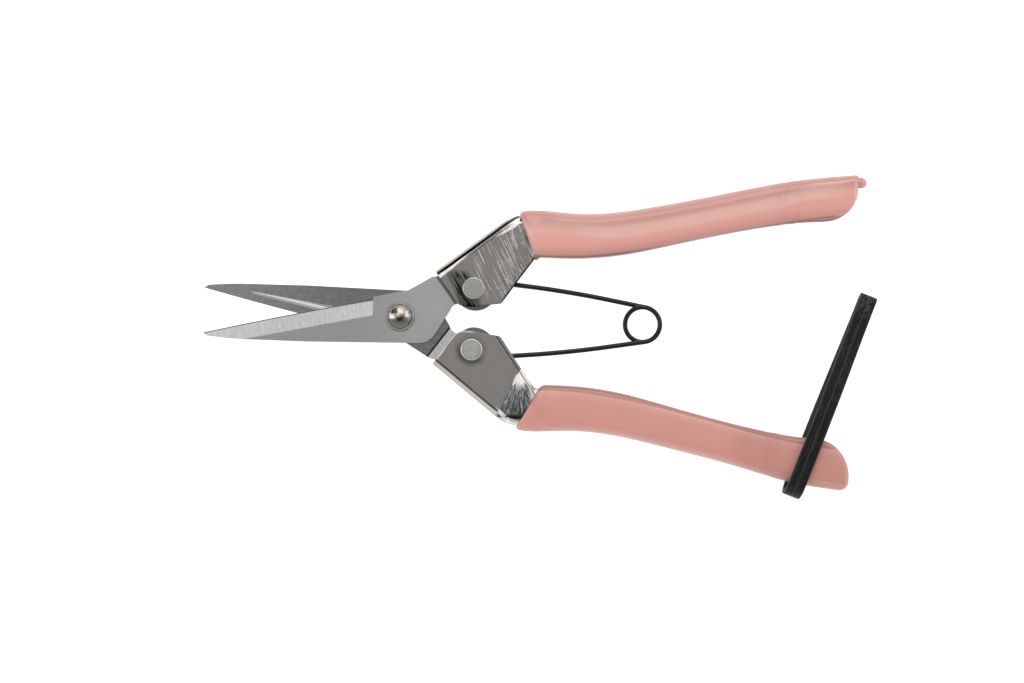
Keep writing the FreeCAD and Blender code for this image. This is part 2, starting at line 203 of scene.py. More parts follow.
class Paint(Nodes):
    """A node material under construction. Positions are in millimetres."""

    def __init__(self, name, **surface):
        self.material = bpy.data.materials.new(name)
        self.material.use_nodes = True
        super().__init__(self.material.node_tree)
        self.shader = self.tree.nodes["Principled BSDF"]
        for socket, value in surface.items():
            self.shader.inputs[socket.replace("_", " ")].default_value = value
        coordinates = self.tree.nodes.new("ShaderNodeTexCoord")
        scaled = self.tree.nodes.new("ShaderNodeVectorMath")
        scaled.operation = "SCALE"
        scaled.inputs["Scale"].default_value = 1 / MM
        self.tree.links.new(coordinates.outputs["Object"], scaled.inputs[0])
        self.position = scaled.outputs[0]
        self.x, self.y = self.split(self.position)[:2]
        geometry = self.tree.nodes.new("ShaderNodeNewGeometry")
        self.facing_north, self.facing_up = self.split(geometry.outputs["Normal"])[1:]

    def along(self, direction, origin=(0.0, 0.0)):
        """Distance from origin along a direction in the plane of the tool."""
        start = direction[0] * origin[0] + direction[1] * origin[1]
        return self.add(self.times(self.x, direction[0]), self.times(self.y, direction[1]), -start)

    def length(self, east, north):
        return self.math("SQRT", self.add(self.times(east, east), self.times(north, north)))

    def noise_at(self, place, detail, roughness):
        node = self.tree.nodes.new("ShaderNodeTexNoise")
        node.inputs["Scale"].default_value = 1.0
        node.inputs["Detail"].default_value = detail
        node.inputs["Roughness"].default_value = roughness
        self.tree.links.new(place, node.inputs["Vector"])
        return node.outputs["Fac"]

    def noise(self, per_mm, detail=2.0, roughness=0.5, turn=0.0, seed=0.0):
        """Noise with its own scale in x, y and z, turned about Z in degrees."""
        mapping = self.tree.nodes.new("ShaderNodeMapping")
        mapping.vector_type = "TEXTURE"
        mapping.inputs["Location"].default_value = (seed * 37.0, seed * 11.0, 0.0)
        mapping.inputs["Rotation"].default_value = (0.0, 0.0, math.radians(turn))
        mapping.inputs["Scale"].default_value = [1 / scale for scale in per_mm]
        self.tree.links.new(self.position, mapping.inputs["Vector"])
        return self.noise_at(mapping.outputs[0], detail, roughness)

    def grey(self, level):
        node = self.tree.nodes.new("ShaderNodeCombineColor")
        for socket in node.inputs[:3]:
            self.feed(socket, level)
        return node.outputs[0]

    def set(self, socket, value):
        self.feed(self.shader.inputs[socket], value)

    def bump(self, height, depth_mm, strength=1.0):
        node = self.tree.nodes.new("ShaderNodeBump")
        node.inputs["Strength"].default_value = strength
        node.inputs["Distance"].default_value = depth_mm * MM
        self.tree.links.new(height, node.inputs["Height"])
        self.tree.links.new(node.outputs[0], self.shader.inputs["Normal"])


MOUTH_HEEL = np.array([9.6, 13.25])          # ends of the upper channel's mouth
MOUTH_FOOT = np.array([16.3, 4.1])
MOUTH_RUN = (MOUTH_FOOT - MOUTH_HEEL) / np.linalg.norm(MOUTH_FOOT - MOUTH_HEEL)
MOUTH_INWARD = np.array([-MOUTH_RUN[1], MOUTH_RUN[0]])
FOLD_INWARD = np.array([0.6125, -0.7905])    # square to the straight outer fold
EDGE_CURVE = np.polyfit([-56.3, -30.0, -10.2], [-6.4, -0.15, 4.15], 2)   # the cutting edge
RAMP_TOE, RAMP_HEEL = np.array([-43.5, -5.85]), np.array([-12.0, 1.05])   # side of the hollow
RAMP_RUN = (RAMP_HEEL - RAMP_TOE) / np.linalg.norm(RAMP_HEEL - RAMP_TOE)
RAMP_AT = RAMP_TOE @ np.array([-RAMP_RUN[1], RAMP_RUN[0]])


def blade_paint(name, side):
    """Ground steel. The outer face is brushed lengthwise, the bevel is ground
    across, and the inner face is finer and darker. side is 1 for the front
    blade and -1 for the rear one, which is the same blade turned over."""
    paint = Paint(name, Metallic=1.0)
    across = paint.times(paint.y, side)
    outer = paint.rise(paint.times(paint.facing_up, side), -0.1, 0.1)
    slope = paint.window(paint.math("ABSOLUTE", paint.facing_up), TURNED_DOWN, FLAT_FACE, 0.006)
    bevel = paint.times(outer, slope)
    from_ramp = paint.add(paint.times(paint.x, -RAMP_RUN[1]), paint.times(across, RAMP_RUN[0]), -RAMP_AT)
    reach = paint.rise(paint.x, -44.0, -24.0, 0.7, 1.5)
    # painted highlight: the ramp up the side of the hollow is painted pale
    ramp_highlight = paint.times(paint.rise(from_ramp, 0.5, 0.4),
                       paint.rise(paint.add(from_ramp, reach), 0.45, 0.55),
                       paint.rise(paint.x, -42.8, -42.2), paint.rise(paint.x, -11.0, -9.0, 1.0, 0.0))
    brushed = paint.noise((0.06, 9.0, 1.0), 3.0)
    ground = paint.noise((4.5, 0.12, 1.0), 3.0, 0.6, 2.0)
    mottle = paint.noise((0.5, 0.9, 1.0), 4.0, 0.6)
    hatch = paint.noise((0.5, 6.0, 1.0), 3.0, 0.6, 35.0, 2.0)
    grain = paint.noise((0.25, 4.5, 1.0), 4.0, 0.7, 0.0, 1.0)
    level = paint.add(paint.rise(paint.x, -15.0, 8.0, 0.49, 0.59), paint.times(paint.add(grain, -0.5), 0.40))
    face = paint.mix(brushed, paint.grey(paint.times(level, 0.92)), paint.grey(paint.times(level, 1.08)))
    edge = paint.grey(paint.times(paint.rise(paint.x, -50.0, -30.0, 0.34, 0.30),
                                  paint.rise(ground, 0.3, 0.7, 0.86, 1.14)))
    from_edge = paint.add(paint.times(paint.x, paint.x, EDGE_CURVE[0]), paint.times(paint.x, EDGE_CURVE[1]),
                          EDGE_CURVE[2], paint.times(across, -1.0))
    edge = paint.mix(paint.window(from_edge, -1.0, 0.28, 0.2), edge, (0.06, 0.06, 0.06))
    level = paint.rise(paint.x, -48.0, -8.0, 0.44, 0.33)
    level = paint.add(level, paint.times(paint.add(mottle, -0.5), 0.22),
                      paint.times(paint.add(hatch, -0.5), 0.12))
    inside = paint.mix(ramp_highlight, paint.grey(level), (0.72, 0.72, 0.72))
    # Painted shade by the handle's mouth: the front blade is dark from just before the mouth on under the
    # handle, as the handle's shadow.
    mouth = paint.along((MOUTH_INWARD[0], side * MOUTH_INWARD[1]), (MOUTH_FOOT[0], side * MOUTH_FOOT[1]))
    if side > 0:
        face = paint.mix(paint.window(mouth, -0.7, 30.0, 0.5), face, (0.17, 0.165, 0.16))
    else:
        # On the rear blade, a painted highlight band and a painted shadow line stand for the bend before the
        # mouth, and painted shade lies under the handle.
        inside = paint.mix(paint.window(mouth, -2.2, 1.6, 0.3), inside, (0.95, 0.95, 0.95))
        inside = paint.mix(paint.window(mouth, -2.75, -2.2, 0.3), inside, (0.03, 0.03, 0.03))
        inside = paint.mix(paint.rise(mouth, 1.6, 2.2), inside, (0.32, 0.32, 0.32))
    colour = paint.mix(outer, inside, face)
    paint.set("Base Color", paint.mix(bevel, colour, edge))
    rough = paint.rise(outer, 0.0, 1.0, 0.24, 0.36)
    paint.set("Roughness", paint.add(rough, paint.times(bevel, -0.05)))
    paint.bump(paint.mix(bevel, brushed, ground), 0.012, 0.6)
    return paint.material


def nickel_paint():
    """Polished nickel, with painted shade making the dome darker and browner on its side that faces south
    (-y).
    """
    paint = Paint("pivot_nickel", Metallic=1.0)
    wear = paint.noise((1.2, 1.2, 1.2), 3.0)
    colour = paint.mix(paint.rise(wear, 0.35, 0.65), (0.28, 0.25, 0.22), (0.48, 0.44, 0.40))
    # painted shade on the dome's south-facing side
    low = paint.times(paint.rise(paint.facing_north, 0.02, -0.25), paint.rise(paint.facing_up, 0.2, 0.4))
    paint.set("Base Color", paint.mix(paint.times(low, 0.75), colour, (0.10, 0.09, 0.08)))
    paint.set("Roughness", paint.rise(wear, 0.3, 0.75, 0.2, 0.32))
    paint.bump(paint.noise((2.0, 2.0, 2.0), 2.0), 0.01, 0.5)
    return paint.material


def washer_paint():
    """Plain plated steel, with painted shade as dark lines next to the dome's foot and along the outer edge.
    """
    paint = Paint("washer_steel", Metallic=1.0)
    grain = paint.noise((2.0, 2.0, 2.0), 3.0)
    out = paint.length(paint.x, paint.y)
    colour = paint.mix(paint.rise(grain, 0.35, 0.65), (0.42, 0.425, 0.39), (0.64, 0.64, 0.60))
    # painted shade: a dark line next to the dome's foot, then one along the outer edge
    colour = paint.mix(paint.times(paint.rise(out, 3.62, 3.5), 0.85), colour, (0.06, 0.058, 0.05))
    colour = paint.mix(paint.times(paint.rise(out, 3.92, 4.0), 0.8), colour, (0.06, 0.06, 0.055))
    paint.set("Base Color", colour)
    paint.set("Roughness", paint.rise(grain, 0.3, 0.7, 0.34, 0.42))
    return paint.material


def rivet_paint(name, side):
    """Matt steel, with a painted shadow ring near the head's edge and a painted highlight as a bright rim.
    """
    paint = Paint(name, Metallic=1.0)
    grain = paint.noise((4.0, 4.0, 4.0), 4.0, 0.7)
    east = paint.add(paint.x, -RIVET[0])
    north = paint.add(paint.y, -side * RIVET[1])
    out = paint.length(east, north)
    tone = 0.96 if side < 0 else 0.82
    colour = paint.mix(paint.rise(grain, 0.3, 0.7), toned((0.44, 0.46, 0.42), tone),
                       toned((0.68, 0.70, 0.66), tone))
    # painted shadow: a thin dark ring near the edge of the head
    colour = paint.mix(paint.window(out, 2.4, 2.6, 0.2), colour, (0.36, 0.38, 0.35))
    # painted highlight: a bright ring round it
    rim_highlight = (0.62, 0.64, 0.60) if side < 0 else (0.52, 0.54, 0.50)
    paint.set("Base Color", paint.mix(paint.window(out, 2.75, 4.0, 0.2), colour, rim_highlight))
    paint.set("Roughness", paint.rise(grain, 0.2, 0.8, 0.34, 0.5))
    paint.bump(grain, 0.02, 0.6)
    return paint.material


SCRATCH_TURN = -63.0          # direction of the scratches, degrees from +X
FAN_TOP = (34.2, -14.5)
EDGE_TOP = (28.8, 4.95)       # the slanted inner edge of the handles
EDGE_RUN = (0.578, 0.817)


def upper_marks(paint, colour):
    """The upper handle's scratches: black gouges beside the mouth and dark
    ones in the rubbed patch near the grip are mixed in, white ones are
    returned apart."""
    streaks = paint.noise((0.09, 6.0, 1.0), 1.0, 0.4, SCRATCH_TURN)
    dense = paint.noise((0.22, 9.0, 1.0), 2.0, 0.5, SCRATCH_TURN + 2.0, 1.0)
    patches = paint.noise((0.45, 0.45, 0.45), 2.0, 0.5, 0.0, 5.0)
    long_ones = paint.times(paint.rise(streaks, 0.64, 0.67), paint.window(paint.x, 21.0, 33.0, 3.0),
                            paint.window(paint.y, 6.0, 25.0, 4.0))
    rubbed = paint.times(paint.window(paint.x, 28.5, 40.0, 4.0), paint.window(paint.y, 8.0, 28.0, 4.0),
                         paint.rise(patches, 0.42, 0.55, 0.3, 1.0))
    near_grip = paint.times(paint.rise(dense, 0.59, 0.63), rubbed)
    dark_ones = paint.times(paint.rise(dense, 0.45, 0.40), rubbed, 0.7)
    colour = paint.mix(dark_ones, colour, (0.17, 0.165, 0.155))
    bent = paint.add(paint.along(MOUTH_INWARD, MOUTH_FOOT), paint.times(paint.y, -0.25), 1.15)
    gouges = paint.times(paint.window(bent, 0.7, 5.4, 1.8), paint.rise(dense, 0.38, 0.52),
                         paint.rise(paint.y, 14.5, 12.5), paint.rise(paint.y, 2.5, 4.0))
    colour = paint.mix(paint.times(gouges, 0.97), colour, (0.02, 0.02, 0.018))
    return colour, paint.math("MAXIMUM", long_ones, near_grip)


def fan(paint):
    """Painted reflections in streaks that spread from the top of the lower handle's shoulder: how white, how
    black and how dull the plating is made by them."""
    east, south = paint.add(paint.x, -FAN_TOP[0]), paint.add(FAN_TOP[1], paint.times(paint.y, -1.0))
    angle = paint.times(paint.math("ARCTAN2", east, south), 180 / math.pi)
    out = paint.length(east, south)
    place = paint.tree.nodes.new("ShaderNodeCombineXYZ")
    paint.feed(place.inputs[0], paint.times(angle, 0.30))
    paint.feed(place.inputs[1], paint.times(out, 0.35))
    streaks = paint.noise_at(place.outputs[0], 4.0, 0.65)
    right = paint.rise(out, 5.0, 12.0, 38.0, 20.0)
    before_right = paint.math("SUBTRACT", right, angle)
    inside = paint.times(paint.rise(angle, -27.0, -22.0), paint.rise(before_right, 0.0, 5.0),
                         paint.rise(out, 0.3, 0.9), paint.rise(south, 13.3, 12.8))
    share = paint.add(streaks, paint.rise(out, 1.5, 6.5, -0.20, 0.07))
    black = paint.times(inside, paint.rise(share, 0.42, 0.60, 0.0, 0.95))
    rim = paint.times(paint.window(angle, -23.0, 19.0, 4.0), paint.window(south, 12.4, 13.4, 0.3))
    white = paint.times(inside, paint.rise(share, 0.44, 0.32), paint.rise(out, 0.5, 1.5))
    dull = paint.times(inside, paint.rise(out, 3.0, 6.0))
    return paint.times(white, 0.9), paint.math("MAXIMUM", black, rim), dull


def lower_painted_reflections(paint, colour):
    """The lower handle's painted reflections, its fan of streaks, and a painted shadow line beside its
    slanted inner edge. Painted white streaks and dull places are returned apart."""
    scratches_and_glints, black, dull = fan(paint)
    colour = paint.mix(dull, colour, (0.50, 0.50, 0.52))
    colour = paint.mix(black, colour, (0.075, 0.078, 0.088))
    from_edge = paint.along((-EDGE_RUN[1], -EDGE_RUN[0]), (EDGE_TOP[0], -EDGE_TOP[1]))
    # painted shadow: a dark line beside the slanted inner edge
    line = paint.times(paint.window(from_edge, 0.55, 0.9, 0.15), 0.8)
    return paint.mix(line, colour, DARK_LINE), scratches_and_glints, dull


def upper_lines(paint, colour, depth):
    """Painted shade: dark lines behind the upper handle's fold and along its inner edge."""
    lip = paint.times(paint.window(depth, 1.3, 2.15, 0.15), paint.window(paint.x, 18.0, 27.5, 3.0))
    colour = paint.mix(paint.times(lip, 0.75), colour, (0.12, 0.12, 0.115))
    gap = paint.times(paint.window(depth, 0.75, 1.45, 0.2), paint.window(paint.x, 12.0, 35.0, 3.0))
    colour = paint.mix(paint.times(gap, 0.92), colour, (0.02, 0.02, 0.02))
    from_edge = paint.along((-EDGE_RUN[1], EDGE_RUN[0]), EDGE_TOP)
    edge_line = paint.times(paint.rise(from_edge, 0.45, 0.28), paint.rise(paint.x, 28.5, 30.0))
    return paint.mix(paint.times(edge_line, 0.85), colour, DARK_LINE)


def lower_glint(paint, colour, depth):
    """Torn white glint where the lower handle's fold meets the fan."""
    torn = paint.noise((1.6, 0.3, 1.0), 3.0, 0.6, 0.0, 8.0)
    glint = paint.times(paint.window(depth, 1.15, 2.3, 0.3), paint.window(paint.x, 28.2, 32.2, 0.8),
                        paint.rise(torn, 0.40, 0.50), 0.9)
    return paint.mix(glint, colour, (0.95, 0.95, 0.96))


def chrome_paint(name, side):
    """Bright plating over sheet steel, with the scratches and gouges of handling, painted reflections on the
    lower handle's shoulder, a painted dark reflection round the rivet, and painted shade along the folds and
    on the steep cut edges."""
    paint = Paint(name, Metallic=1.0)
    upper = side == "upper"
    turn = 1 if upper else -1
    haze = paint.noise((0.35, 0.35, 0.35), 3.0)
    fine = paint.noise((0.2, 14.0, 1.0), 2.0, 0.5, 88.0, 2.0)
    colour = paint.mix(haze, (0.50, 0.475, 0.445), (0.60, 0.57, 0.54))
    if upper:
        colour, scratches_and_glints = upper_marks(paint, colour)
        dull = 0.0
    else:
        colour, scratches_and_glints, dull = lower_painted_reflections(paint, colour)
    # painted dark reflection round the rivet, stronger to the south-west, for the shallow dip of the face
    # round it
    east, north = paint.add(paint.x, -RIVET[0]), paint.add(paint.y, -turn * RIVET[1])
    halo_end, halo_share = (4.6, 0.35) if upper else (5.4, 0.8)
    south_west = paint.rise(paint.add(north, paint.times(east, 0.5)), 1.0, -2.6, 0.3, 1.0)
    halo = paint.rise(paint.length(east, north), 3.1, halo_end, 1.0, 0.0)
    colour = paint.mix(paint.times(halo, halo_share, south_west), colour, (0.10, 0.095, 0.09))
    # real white scratches on the upper handle, painted white reflections on the lower one
    colour = paint.mix(scratches_and_glints, colour, SCRATCH_AND_GLINT_WHITE)
    depth = paint.along((FOLD_INWARD[0], turn * FOLD_INWARD[1]), (MOUTH_HEEL[0], turn * MOUTH_HEEL[1]))
    colour = (upper_lines if upper else lower_glint)(paint, colour, depth)
    # painted shade: a dark outline along the fold's outermost edge
    colour = paint.mix(paint.times(paint.rise(depth, 0.8, 0.6), 0.35), colour, BLACK)
    # painted shade: steep faces behind the inner cut edges are painted near black
    tilted = paint.math("LESS_THAN", paint.math("ABSOLUTE", paint.facing_up), 0.93 if upper else 0.6)
    cut = paint.times(tilted, paint.rise(depth, 4.0, 5.0), paint.rise(paint.x, 17.0, 18.0))
    paint.set("Base Color", paint.mix(cut, colour, (0.04, 0.037, 0.035)))
    roughness = paint.add(0.05, paint.times(scratches_and_glints, 0.45), paint.times(fine, 0.06), paint.times(dull, 0.4))
    paint.set("Roughness", roughness)
    waves = paint.noise((0.22, 0.22, 0.22), 1.0)
    paint.bump(paint.add(waves, paint.times(scratches_and_glints, -0.05), paint.times(fine, 0.012)), 0.12, 0.8)
    return paint.material


def wire_paint():
    """Black oxide with a few paler specks."""
    paint = Paint("spring_black", Roughness=0.25, Specular_IOR_Level=0.35)
    specks = paint.noise((1.5, 1.5, 1.5), 4.0, 0.7)
    colour = paint.mix(paint.rise(specks, 0.45, 0.75), (0.004, 0.004, 0.003), (0.016, 0.014, 0.012))
    paint.set("Base Color", colour)
    paint.bump(paint.noise((3.0, 3.0, 3.0), 3.0), 0.02, 0.5)
    return paint.material


GRIP_TONES = {"upper": (0.74, 0.36, 0.31), "lower": (0.665, 0.306, 0.257)}
CREASE_SHADE = 0.38            # how much painted shade browns the creases of the grips, per mm of depth


def vinyl_paint(name, tone, side):
    """Dipped vinyl: a gloss skin with painted shade that deepens it where it turns down to the sides, a
    painted highlight as a paler band along the upper grip and as a sharp light line along the inner edge of
    the lower one, and creases a little browner with painted shade."""
    paint = Paint(name, Roughness=0.3, Coat_Weight=0.25, Coat_Roughness=0.1, IOR=1.5)
    upper = side == "upper"
    turn = 1.0 if upper else -1.0
    level = paint.math("ABSOLUTE", paint.facing_up)
    outward = paint.rise(paint.times(paint.facing_north, turn), -0.05, 0.05)
    clouds = paint.noise((0.08, 0.16, 0.16), 3.0)
    specks = paint.rise(paint.noise((1.1, 1.1, 1.1), 2.0, 0.5, 0.0, 3.0), 0.74, 0.80)
    # colour of the painted highlights
    highlight_tint = toned(tone, (1.05, 1.26, 1.28))
    # colour of the painted shade
    brown = toned(tone, (0.30, 0.20, 0.18))
    colour = paint.mix(clouds, toned(tone, 0.96), toned(tone, 1.04))
    colour = paint.mix(paint.times(specks, 0.25), colour, (0.45, 0.18, 0.16))
    place = paint.times(paint.y, turn)           # distance outward from the grip's middle
    for power, factor in enumerate(MIDDLE_CURVE[::-1]):
        place = paint.add(place, paint.times(-factor, *([paint.x] * power)))
    if upper:
        # painted highlight: a paler band along the upper grip
        bent = paint.add(place, paint.rise(paint.x, 62.0, 44.0, 0.0, -2.4),
                         paint.rise(paint.x, 104.0, 117.0, 0.0, -1.2))
        shown = paint.times(paint.rise(paint.x, 40.0, 54.0, 0.35, 1.0),
                            paint.rise(paint.x, 129.0, 119.0, 0.2, 1.0))
        colour = paint.mix(paint.times(paint.window(bent, -1.5, 2.0, 1.3), shown, 0.85), colour, highlight_tint)
        # painted shade: darker towards the outer edge and on the inner side, with a dark line along the
        # inner edge
        kept_after_shade = paint.times(paint.rise(place, 0.4, 4.0, 1.0, 0.77), paint.rise(place, -5.4, -2.2, 0.83, 1.0),
                           paint.rise(place, -6.1, -5.2, 0.45, 1.0))
    else:
        # painted highlight: a sharp light line along the lower grip's inner edge
        colour = paint.mix(paint.times(paint.window(place, -4.7, -3.0, 1.0), 0.35), colour, highlight_tint)
        colour = paint.mix(paint.times(paint.window(place, -4.55, -4.0, 0.3), 0.95), colour, highlight_tint)
        # painted shade: darker from x 92 on, and brown on the inner side beyond the highlight line
        kept_after_shade = paint.times(paint.rise(paint.x, 92.0, 101.0, 1.0, 0.89),
                           paint.rise(place, -5.0, -4.5, 0.74, 1.0))
    patchy = paint.rise(clouds, 0.3, 0.6, 0.2, 1.0)
    # painted shade in the creases
    for crease, depth, width in CREASES[side]:
        fold = paint.window(paint.x, crease - width, crease + width, 1.6 * width)
        colour = paint.mix(paint.times(fold, patchy, CREASE_SHADE * abs(depth)), colour, brown)
    colour = paint.mix(kept_after_shade, BLACK, colour)
    # painted highlight along the rounding of the grip's end
    rim = paint.times(paint.window(level, 0.80, 0.93, 0.05), paint.rise(paint.x, 113.0, 120.0))
    colour = paint.mix(paint.times(rim, 0.45), colour, highlight_tint)
    # painted shade: the skin is mixed towards brown where it turns down to the sides
    outer_side = paint.rise(level, 0.1, 0.95, 0.62, 1.0)
    turn_start, turn_end, turned = (0.3, 0.75, 0.97) if upper else (0.25, 0.88, 0.88)
    inner_side = paint.rise(level, turn_start, turn_end, 0.30, turned)
    inward = paint.math("SUBTRACT", 1.0, outward)
    sides = paint.add(paint.times(outer_side, outward), paint.times(inner_side, inward))
    flat = paint.rise(level, 0.93, 0.97)
    paint.set("Base Color", paint.mix(paint.math("MAXIMUM", sides, flat), brown, colour))
    ripple = paint.add(paint.noise((0.12, 0.2, 0.2), 1.0), paint.times(paint.noise((1.6, 1.6, 1.6)), 0.03))
    paint.bump(ripple, 0.35, 0.5)
    return paint.material


STRAP_FOOT = np.array([113.8, -47.9])
STRAP_TOP = np.array([134.5, 10.4])
STRAP_LENGTH = np.linalg.norm(STRAP_TOP - STRAP_FOOT)
STRAP_RUN = (STRAP_TOP - STRAP_FOOT) / STRAP_LENGTH
STRAP_ACROSS = np.array([STRAP_RUN[1], -STRAP_RUN[0]])
STRAP_TURN = math.degrees(math.atan2(STRAP_RUN[1], STRAP_RUN[0]))
STRAP_W = 5.0
STRAP_T = 1.25


def leather_paint():
    """Smooth black leather with a fine grain, lines along it, paler cut edges
    and a crumpled fold at the far end."""
    paint = Paint("strap_black", Specular_IOR_Level=0.17)
    sideways = paint.along(STRAP_ACROSS, STRAP_FOOT)
    across = paint.math("ABSOLUTE", sideways)
    grain = paint.noise((1.6, 4.0, 4.0), 5.0, 0.65, STRAP_TURN)
    pores = paint.noise((5.0, 5.0, 5.0), 2.0, 0.5, 0.0, 4.0)
    cut = paint.rise(across, 0.5 * STRAP_W - 0.45, 0.5 * STRAP_W - 0.1)
    lines = paint.noise((0.10, 2.6, 2.6), 3.0, 0.6, STRAP_TURN, 6.0)
    middle_line = paint.times(paint.window(sideways, -0.15, 0.2, 0.25), 0.6)
    colour = paint.mix(paint.rise(grain, 0.35, 0.75), (0.003, 0.003, 0.003), (0.014, 0.0135, 0.0125))
    colour = paint.mix(paint.rise(lines, 0.52, 0.66), colour, (0.030, 0.030, 0.030))
    colour = paint.mix(middle_line, colour, (0.055, 0.055, 0.057))
    colour = paint.mix(paint.times(paint.rise(pores, 0.68, 0.78), 0.6), colour, (0.07, 0.07, 0.068))
    folded = paint.rise(paint.along(STRAP_RUN, STRAP_FOOT), STRAP_LENGTH - 8.0, STRAP_LENGTH - 3.0)
    crumple = paint.noise((0.9, 0.9, 0.9), 2.0, 0.6, 0.0, 7.0)
    crumpled = paint.times(folded, paint.rise(crumple, 0.4, 0.65), 0.7)
    colour = paint.mix(crumpled, colour, (0.065, 0.064, 0.06))
    paint.set("Base Color", paint.mix(paint.times(cut, 0.7), colour, (0.055, 0.052, 0.045)))
    paint.set("Roughness", paint.rise(grain, 0.3, 0.7, 0.42, 0.6))
    paint.bump(paint.add(grain, paint.times(pores, 0.4), paint.times(folded, crumple, 5.0)), 0.10, 0.7)
    return paint.material


# ---- making pieces ----
def make_piece(name, points, faces, material):
    """A smooth-shaded mesh from points in millimetres."""
    mesh = bpy.data.meshes.new(name)
    mesh.from_pydata([tuple(point) for point in np.array(points) * MM], [], faces)
    mesh.polygons.foreach_set("use_smooth", [True] * len(mesh.polygons))
    mesh.materials.append(material)
    mesh.update()
    piece = bpy.data.objects.new(name, mesh)
    bpy.context.scene.collection.objects.link(piece)
    return piece


def grid_faces(rows, columns, closed):
    """Quads between the rows of a grid of points. A closed grid also joins
    each row's last point to its first."""
    faces = []
    for row in range(rows - 1):
        for column in range(columns if closed else columns - 1):
            following = (column + 1) % columns
            corner, beside = row * columns + column, row * columns + following
            faces.append((corner, corner + columns, beside + columns, beside))
    return faces


def tube_piece(name, rows, material):
    """Closed skin over rings of points, with a cap at each end."""
    count = len(rows[0])
    faces = grid_faces(len(rows), count, True)
    faces.append(tuple(range(count)))
    faces.append(tuple(reversed(range((len(rows) - 1) * count, len(rows) * count))))
    return make_piece(name, np.concatenate(rows), faces, material)


def stands_for(piece, node, body):
    """Puts a piece in the place of a CAD node."""
    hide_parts(node)
    if body:
        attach(piece, body)


def add_modifier(piece, kind, **settings):
    modifier = piece.modifiers.new(kind.lower(), kind)
    for setting, value in settings.items():
        setattr(modifier, setting, value)


# ---- handles and grips ----
# A handle's cross-section lies on a line from its outer edge, at x_out, to its
# inner edge, at x_in. The line is slanted at the mouth and where the grip
# starts, and square to X from JOIN_X on.
HANDLE_X = [corner[0] for corner in box_mm("upper_handle")]
STATION_STEP = 0.25
INSET = 0.05                 # the first cut is this far inside the handle's end
STATIONS = np.arange(HANDLE_X[0] + INSET, HANDLE_X[1], STATION_STEP)
LOW_Y, HIGH_Y, HALF_Z = slices_mm("upper_handle", STATIONS).T
JOIN_X = 50.0
FLAT_HALF = HALF_Z[0]
FOLD_R = 2.0                 # outer edge of the channel
SEAM_R = 0.9                 # inner edge of the grip over the channel
TUBE_FOLD, TUBE_SEAM = 0.92, 0.42            # the same for the tube, per half height
MOST_FOLD = 0.96
WALL = 1.0                   # vinyl over the steel
SHEET = 1.2
EDGE_STEP = 0.7              # no points nearer than this to an open edge
FACE_POINTS = 58
TUBE_X = 29.0, 42.0          # where the channel turns into the tube
CROWN = 0.10                 # how much lower the tube's edges are than its middle
RAISED = {"upper": 0.2, "lower": 0.22}      # step of the face behind the mouth


def smoothed(values, width):
    """Running average that leaves the two ends where they are."""
    reach = int(width / STATION_STEP)
    before = 2 * values[0] - values[reach:0:-1]
    after = 2 * values[-1] - values[-2:-reach - 2:-1]
    padded = np.concatenate([before, values, after])
    weights = np.hanning(2 * reach + 3)[1:-1]
    return np.convolve(padded, weights / weights.sum(), "valid")


HIGH_Y = smoothed(HIGH_Y, 3.0)
LOW_CORNERS = smoothed(LOW_Y, 0.5)
UNDER_GRIP = STATIONS > 45
MIDDLE_CURVE = np.polyfit(STATIONS[UNDER_GRIP], (HIGH_Y + LOW_Y)[UNDER_GRIP] / 2, 3)


def inner_x(x_out, dip_out, dip_in):
    """x_in for a section line, through the mouth, the dip line and JOIN_X."""
    mouth_out, mouth_in = HANDLE_X[0], MOUTH_FOOT[0]
    if x_out >= JOIN_X:
        return x_out
    first = (dip_in - mouth_in) / (dip_out - mouth_out)
    last = (JOIN_X - dip_in) / (JOIN_X - dip_out)
    slope = 0.5 * (first + last)
    if x_out < dip_out:
        start, stop, low, high, slopes = mouth_out, dip_out, mouth_in, dip_in, (first, slope)
    else:
        start, stop, low, high, slopes = dip_out, JOIN_X, dip_in, JOIN_X, (slope, 1.0)
    t = (x_out - start) / (stop - start)
    span = stop - start
    return (low * (1 + 2 * t) * (1 - t) ** 2 + high * t * t * (3 - 2 * t)
            + span * (slopes[0] * t * (1 - t) ** 2 + slopes[1] * t * t * (t - 1)))


